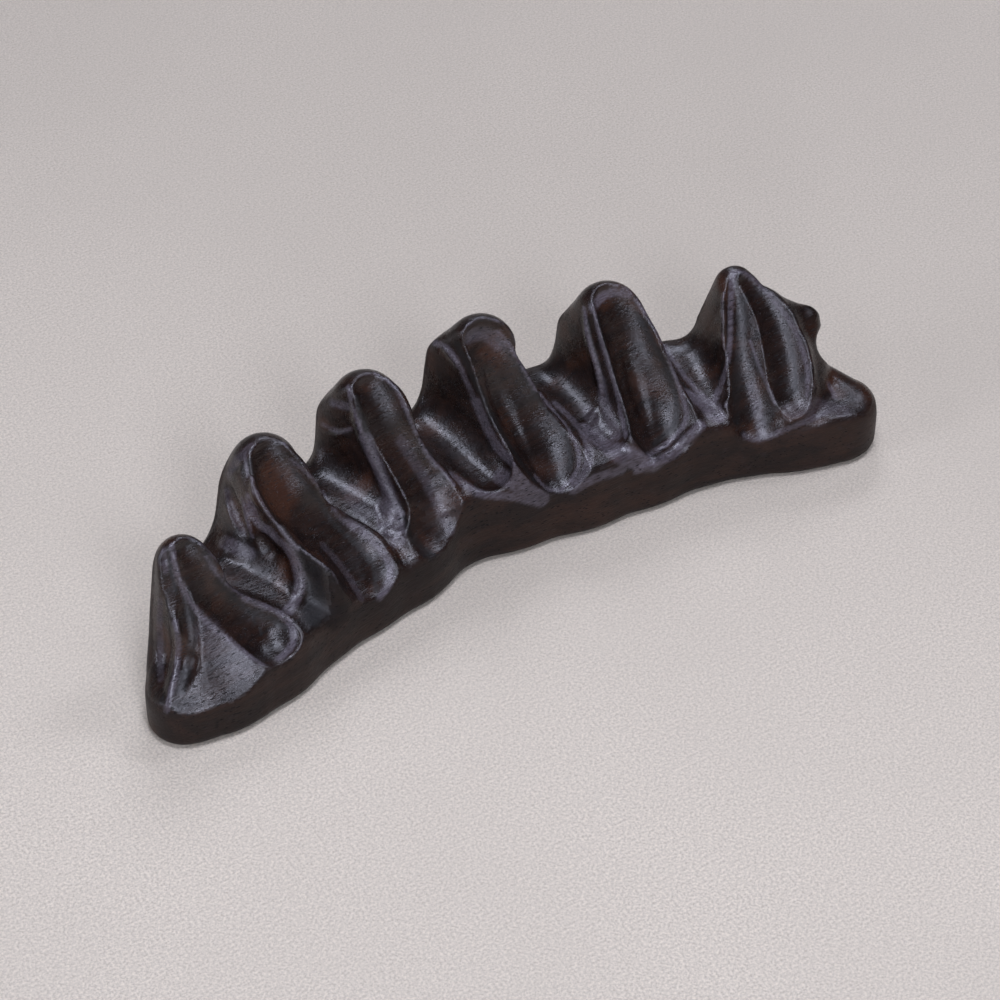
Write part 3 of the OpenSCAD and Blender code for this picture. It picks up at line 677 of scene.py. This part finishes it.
NRM = np.zeros_like(V)
WALL = np.zeros(len(V))
for ii, near in by_x(body, V):
    p = V[ii]; f0 = body.f(p[:, 0], p[:, 1], p[:, 2], near)
    NRM[ii] = np.stack([body.f(p[:, 0] + 0.15 * (k == 0), p[:, 1] + 0.15 * (k == 1), p[:, 2] + 0.15 * (k == 2), near) - f0 for k in range(3)], 1)
    WALL[ii] = np.clip(2.4 - 1.2 * np.abs(body.side(p[:, 0], p[:, 1], p[:, 2])), 0, 1)
    low = np.clip((25 - p[:, 2]) / 6, 0, 1) * np.clip((10.5 - np.abs(p[:, 0] + 20)) / 3, 0, 1)
    WALL[ii] = np.maximum(WALL[ii], low)
NRM /= np.maximum(np.linalg.norm(NRM, axis=1, keepdims=True), 1e-9)
WALL *= np.clip((0.70 - NRM[:, 2]) / 0.25, 0, 1)
BEND = sum((around(V[:, k]) - V[:, k]) * NRM[:, k] for k in range(3)) / STEP ** 2
FINE = BEND
for _ in range(3):
    FINE = 0.5 * FINE + 0.5 * around(FINE)
WIDE = FINE
for _ in range(int(26 * (0.58 / STEP) ** 2)):
    WIDE = 0.4 * WIDE + 0.6 * around(WIDE)
for _ in range(3):
    WALL = 0.5 * WALL + 0.5 * around(WALL)
# Paler rubbed places with painted highlight, and painted shade, laid onto the mesh from the strokes above.
RUBBED_AND_LIT, PAINTED_SHADE = np.zeros(len(V)), np.zeros(len(V))
for field, pts, width, strength in [(RUBBED_AND_LIT, *w) for w in WEAR_AND_HIGHLIGHT] + [(PAINTED_SHADE, *w) for w in SHADE_STROKES]:
    L = catmull(pts, 7.0)
    hit, out = body.see(L[:, 0], L[:, 1])
    r = width / 2
    ii = np.flatnonzero(((V > hit.min(0) - r) & (V < hit.max(0) + r)).all(1))
    D = np.full(len(ii), 99.0); N0 = np.zeros((len(ii), 3))
    for a, b, na, nb in zip(hit[:-1], hit[1:], out[:-1], out[1:]):
        e = b - a
        if np.linalg.norm(e) > 9:
            continue
        t = np.clip(((V[ii] - a) @ e) / (e @ e + 1e-9), 0, 1)[:, None]
        d = np.linalg.norm(V[ii] - a - t * e, axis=1)
        m = d < D
        D[m] = d[m]; N0[m] = (na + t * (nb - na))[m]
    cos = (N0 * NRM[ii]).sum(1)
    gate = np.clip((cos - (0.25 if width > 1.8 else 0.0)) / 0.4, 0, 1)
    u = np.clip((r - D) / (0.45 * r), 0, 1)
    field[ii] = np.maximum(field[ii], strength * (gate if field is RUBBED_AND_LIT else 1.0) * u * u * (3 - 2 * u))

mesh = bpy.data.meshes.new("carved_wood")
mesh.vertices.add(len(P)); mesh.vertices.foreach_set("co", P.astype(np.float32).ravel())
mesh.loops.add(Q.size); mesh.loops.foreach_set("vertex_index", Q.ravel().astype(np.int32))
mesh.polygons.add(len(Q))
mesh.polygons.foreach_set("loop_start", np.arange(0, Q.size, 4, dtype=np.int32))
mesh.polygons.foreach_set("loop_total", np.full(len(Q), 4, np.int32))
mesh.update(calc_edges=True); mesh.validate(); mesh.shade_smooth()
for name, values in (("bend_fine", FINE), ("bend_wide", WIDE), ("wall", WALL), ("rub_and_highlight", RUBBED_AND_LIT), ("shade_paint", PAINTED_SHADE)):
    mesh.attributes.new(name, "FLOAT", "POINT").data.foreach_set("value", values.astype(np.float32))
wood = bpy.data.objects.new("carved_wood", mesh)
bpy.context.scene.collection.objects.link(wood)
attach(wood, "root"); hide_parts("carved_body")


# ------------------------------------------------------------------ materials
class Nodes:
    def __init__(self, name):
        self.mat = bpy.data.materials.new(name); self.mat.use_nodes = True
        self.t = self.mat.node_tree
        self.bsdf = self.t.nodes["Principled BSDF"]
        self.at = [-200, 0]

    def new(self, kind, **kw):
        n = self.t.nodes.new(kind)
        for k, v in kw.items():
            setattr(n, k, v)
        n.location = tuple(self.at); self.at[0] -= 40; self.at[1] -= 60
        return n

    def link(self, a, b):
        self.t.links.new(a, b)

    def put(self, socket, v):
        if isinstance(v, bpy.types.NodeSocket):
            self.link(v, socket)
        else:
            socket.default_value = v

    def noise(self, vec, scale, detail=2.0, rough=0.5, dist=0.0, kind="FBM"):
        n = self.new("ShaderNodeTexNoise")
        n.noise_dimensions = "3D"
        self.put(n.inputs["Vector"], vec)
        n.inputs["Scale"].default_value = scale; n.inputs["Detail"].default_value = detail
        n.inputs["Roughness"].default_value = rough; n.inputs["Distortion"].default_value = dist
        return n.outputs["Fac"]

    def voronoi(self, vec, scale, feature="F1", rand=1.0):
        n = self.new("ShaderNodeTexVoronoi", feature=feature)
        self.put(n.inputs["Vector"], vec)
        n.inputs["Scale"].default_value = scale; n.inputs["Randomness"].default_value = rand
        return n

    def mapping(self, vec, scale=(1, 1, 1), rot=(0, 0, 0), loc=(0, 0, 0)):
        n = self.new("ShaderNodeMapping")
        self.put(n.inputs["Vector"], vec)
        n.inputs["Scale"].default_value = scale; n.inputs["Rotation"].default_value = rot; n.inputs["Location"].default_value = loc
        return n.outputs["Vector"]

    def remap(self, v, a, b, c=0.0, d=1.0, smooth=False):
        n = self.new("ShaderNodeMapRange")
        if smooth:
            n.interpolation_type = "SMOOTHSTEP"
        self.put(n.inputs["Value"], v)
        for k, x in zip(("From Min", "From Max", "To Min", "To Max"), (a, b, c, d)):
            n.inputs[k].default_value = x
        return n.outputs["Result"]

    def math(self, op, a, b=0.0, c=0.0):
        n = self.new("ShaderNodeMath", operation=op)
        for i, v in enumerate((a, b, c)):
            if i < len(n.inputs):
                self.put(n.inputs[i], v)
        return n.outputs[0]

    def mix(self, fac, a, b, blend="MIX"):
        n = self.new("ShaderNodeMix", data_type="RGBA", blend_type=blend)
        self.put(n.inputs[0], fac); self.put(n.inputs[6], a); self.put(n.inputs[7], b)
        return n.outputs[2]

    def bump(self, height, dist, strength=1.0, normal=None):
        n = self.new("ShaderNodeBump")
        n.inputs["Strength"].default_value = strength; n.inputs["Distance"].default_value = dist
        self.put(n.inputs["Height"], height)
        if normal is not None:
            self.link(normal, n.inputs["Normal"])
        return n.outputs["Normal"]

    def attr(self, name):
        n = self.new("ShaderNodeAttribute", attribute_name=name)
        return n.outputs["Fac"]


def wood_material(name, shine, coat):
    m = Nodes(name)
    co = m.new("ShaderNodeTexCoord").outputs["Object"]
    # metres to millimetres; the grain runs along X with a slight tilt
    mm = m.mapping(co, (1000, 1000, 1000), (0, math.radians(2), math.radians(-4)))
    grain = m.mapping(mm, (0.10, 1.0, 1.0))
    fine = m.mapping(mm, (0.16, 1.6, 1.6))
    bands = m.noise(grain, 0.35, 3.0, 0.55, 0.6)
    streak = m.noise(fine, 1.3, 3.0, 0.6, 0.3)
    patch = m.noise(mm, 0.075, 3.0, 0.5, 0.4)
    hollow = m.attr("bend_wide"); edge = m.attr("bend_fine"); wall = m.attr("wall")
    rub_and_highlight = m.attr("rub_and_highlight")
    fibre = m.noise(m.mapping(mm, (0.35, 3.2, 3.2)), 1.0, 3.0, 0.65)
    mottle = m.noise(mm, 0.5, 3.0, 0.6)
    # paler colour on convex edges and along the rubbed strokes: partly real wear, partly painted highlight
    worn_and_lit = m.math("ADD", m.remap(edge, -0.10, -0.45, 0.0, 0.8, True), m.remap(mottle, 0.3, 0.7, -0.25, 0.25))
    worn_and_lit = m.remap(worn_and_lit, 0.1, 0.9, 0.0, 0.7, True)
    hatch = m.noise(m.mapping(mm, (0.24, 2.7, 2.7)), 1.0, 3.0, 0.65)
    rub_and_highlight = m.math("MULTIPLY", rub_and_highlight, m.remap(hatch, 0.36, 0.60, 0.45, 1.15))
    rub_and_highlight = m.math("MULTIPLY", rub_and_highlight, m.remap(mottle, 0.30, 0.65, 0.65, 1.10))
    worn_and_lit = m.math("MAXIMUM", worn_and_lit, rub_and_highlight)
    c = m.mix(m.remap(bands, 0.35, 0.7, smooth=True), (0.0075, 0.0036, 0.0028, 1), (0.0200, 0.0090, 0.0060, 1))
    red = m.math("ADD", m.remap(patch, 0.42, 0.70, 0.0, 0.9, True), m.remap(hollow, 0.0, 0.16, -0.25, 0.45))
    red = m.remap(red, 0.05, 0.95, 0.0, 0.85, True)
    c = m.mix(red, c, (0.052, 0.0200, 0.0105, 1))
    side = m.mix(m.remap(m.noise(grain, 0.22, 4.0, 0.6, 0.5), 0.40, 0.62, smooth=True), (0.0115, 0.0062, 0.0046, 1), (0.0300, 0.0140, 0.0088, 1))
    c = m.mix(m.remap(wall, 0.2, 0.9, 0.0, 0.70), c, side)
    c = m.mix(m.remap(streak, 0.3, 0.75, 0.0, 0.5), c, (0.0045, 0.0032, 0.0031, 1))
    # painted shade: darker in fine hollows and creases, and along the shade strokes
    c = m.mix(m.remap(edge, 0.06, 0.40, 0.0, 0.75, True), c, (0.0025, 0.0018, 0.0018, 1))
    c = m.mix(m.attr("shade_paint"), c, (0.0022, 0.0016, 0.0016, 1))
    # the paler rubbed colour, partly wear and partly painted highlight
    c = m.mix(m.math("MULTIPLY", worn_and_lit, 0.80), c, (0.104, 0.090, 0.104, 1))
    # pores: short dark dashes along the grain
    pv = m.voronoi(m.mapping(mm, (0.32, 1.7, 1.7)), 1.0)
    pore = m.remap(pv.outputs["Distance"], 0.13, 0.22, 1.0, 0.0, True)
    gate = m.remap(m.noise(mm, 0.16, 1.0), 0.36, 0.50, 0.0, 1.0, True)
    pore = m.math("MULTIPLY", pore, gate)
    c = m.mix(m.math("MULTIPLY", pore, 0.85), c, (0.0015, 0.0012, 0.0012, 1))
    m.link(c, m.bsdf.inputs["Base Color"])
    r = m.remap(m.noise(mm, 0.22, 3.0, 0.6), 0.3, 0.7, 0.23, 0.32)
    r = m.math("ADD", r, m.remap(streak, 0.3, 0.8, -0.03, 0.08))
    r = m.math("ADD", r, m.remap(wall, 0.2, 0.9, 0.0, 0.20))
    r = m.math("ADD", r, m.math("MULTIPLY", pore, 0.45))
    r = m.math("ADD", r, m.math("MULTIPLY", m.attr("shade_paint"), 0.25))
    r = m.math("ADD", r, m.remap(hollow, 0.05, 0.11, 0.0, 0.13, True))
    r = m.math("ADD", r, m.math("MULTIPLY", rub_and_highlight, -0.05))
    m.link(r, m.bsdf.inputs["Roughness"])
    h = m.math("ADD", m.math("MULTIPLY", streak, 0.5), m.math("MULTIPLY", mottle, 0.5))
    h = m.math("ADD", h, m.math("MULTIPLY", fibre, 0.45))
    n1 = m.bump(h, 0.00022, 0.7)
    n2 = m.bump(pore, -0.00022, 1.0, n1)
    m.link(n2, m.bsdf.inputs["Normal"])
    m.bsdf.inputs["Specular IOR Level"].default_value = shine
    m.bsdf.inputs["Coat Weight"].default_value = coat
    m.bsdf.inputs["Coat Roughness"].default_value = 0.22
    return m.mat


mesh.materials.append(wood_material("dark_waxed_wood", 0.45, 0.05))
mesh.materials.append(wood_material("dark_side_wood", 0.22, 0.0))
mesh.polygons.foreach_set("material_index", (WALL[Q].mean(1) > 0.6).astype(np.int32))


def floor_material():
    m = Nodes("pale_paper")
    co = m.new("ShaderNodeTexCoord").outputs["Object"]
    mm = m.mapping(co, (1000, 1000, 1000))
    n = m.noise(mm, 1.7, 4.0, 0.8)
    big = m.noise(mm, 0.012, 2.0)
    c = m.mix(m.remap(n, 0.38, 0.62), (0.425, 0.377, 0.306, 1), (0.700, 0.622, 0.505, 1))
    c = m.mix(m.remap(big, 0.3, 0.7, 0.0, 0.35), c, (0.49, 0.436, 0.354, 1))
    # painted shade: the paper is made darker towards the back and the right
    far = m.new("ShaderNodeSeparateXYZ"); m.link(mm, far.inputs[0])
    c = m.mix(m.remap(m.math("ADD", far.outputs["Y"], m.math("MULTIPLY", far.outputs["X"], 0.95)), -80.0, 200.0, 0.0, 0.38), c, (0.365, 0.322, 0.262, 1))
    speck = m.remap(m.voronoi(mm, 0.16).outputs["Distance"], 0.03, 0.06, 0.35, 0.0)
    c = m.mix(speck, c, (0.33, 0.29, 0.26, 1))
    dust = m.remap(m.voronoi(mm, 0.75).outputs["Distance"], 0.05, 0.20, 0.42, 0.0)
    c = m.mix(dust, c, (0.40, 0.35, 0.30, 1))
    m.link(c, m.bsdf.inputs["Base Color"])
    m.bsdf.inputs["Roughness"].default_value = 0.9
    m.bsdf.inputs["Specular IOR Level"].default_value = 0.2
    m.link(m.bump(n, 0.0004, 0.8), m.bsdf.inputs["Normal"])
    return m.mat


S = 3.0
fm = bpy.data.meshes.new("floor")
fm.from_pydata([(-S, -S, 0), (S, -S, 0), (S, S, 0), (-S, S, 0)], [], [(0, 1, 2, 3)])
fm.materials.append(floor_material())
floor = bpy.data.objects.new("floor", fm)
bpy.context.scene.collection.objects.link(floor)

# ------------------------------------------------------------------ light and camera
world = bpy.data.worlds.new("studio"); bpy.context.scene.world = world
world.use_nodes = True
wt = world.node_tree
bg = wt.nodes["Background"]
bg.inputs["Color"].default_value = (0.90, 0.92, 1.05, 1)
# a soft dome, brightest overhead and towards the front
wc = wt.nodes.new("ShaderNodeTexCoord")
wd = wt.nodes.new("ShaderNodeVectorMath"); wd.operation = "DOT_PRODUCT"; wd.inputs[1].default_value = (-0.36, -0.12, 0.92)
wr = wt.nodes.new("ShaderNodeMapRange"); wr.interpolation_type = "SMOOTHSTEP"
for k, x in (("From Min", 0.0), ("From Max", 1.0), ("To Min", 0.025), ("To Max", 0.14)):
    wr.inputs[k].default_value = x
wt.links.new(wc.outputs["Generated"], wd.inputs[0]); wt.links.new(wd.outputs["Value"], wr.inputs["Value"])
wt.links.new(wr.outputs["Result"], bg.inputs["Strength"])


def area(name, loc, size, power, target=(0, 0, 0.02), color=(1, 1, 1)):
    l = bpy.data.lights.new(name, "AREA"); l.shape = "RECTANGLE"
    l.size, l.size_y = size; l.energy = power; l.color = color
    o = bpy.data.objects.new(name, l); o.location = loc
    o.rotation_euler = (Vector(target) - Vector(loc)).to_track_quat("-Z", "Y").to_euler()
    bpy.context.scene.collection.objects.link(o)
    return o


COOL = (0.86, 0.90, 1.10)
area("top_softbox", (-0.10, -0.18, 1.00), (0.34, 0.30), 6.2, color=COOL)
area("front_softbox", (-0.22, -0.92, 0.74), (0.30, 0.30), 5.4, color=COOL)
area("low_softbox", (-0.62, -0.98, 0.34), (0.24, 0.24), 3.0, color=COOL)
area("back_softbox", (0.40, 0.66, 0.80), (0.38, 0.30), 3.8, color=COOL)
area("left_softbox", (-0.95, 0.05, 0.40), (0.26, 0.30), 2.9, color=COOL)
area("right_softbox", (0.62, -0.06, 0.90), (0.28, 0.28), 2.6, color=COOL)

cam = bpy.data.cameras.new("camera")
cam_ob = bpy.data.objects.new("camera", cam)
bpy.context.scene.collection.objects.link(cam_ob)
cam.sensor_width = 36.0; cam.lens = FOCAL * 36.0 / 1000.0
cam.clip_start, cam.clip_end = 0.02, 20.0
cam_ob.location = Vector((EYE + np.array(SHIFT)) / 1000.0)
cam_ob.rotation_euler = Vector(LOOK).to_track_quat("-Z", "Y").to_euler()
bpy.context.scene.camera = cam_ob
bpy.context.scene.view_settings.view_transform = "Standard"
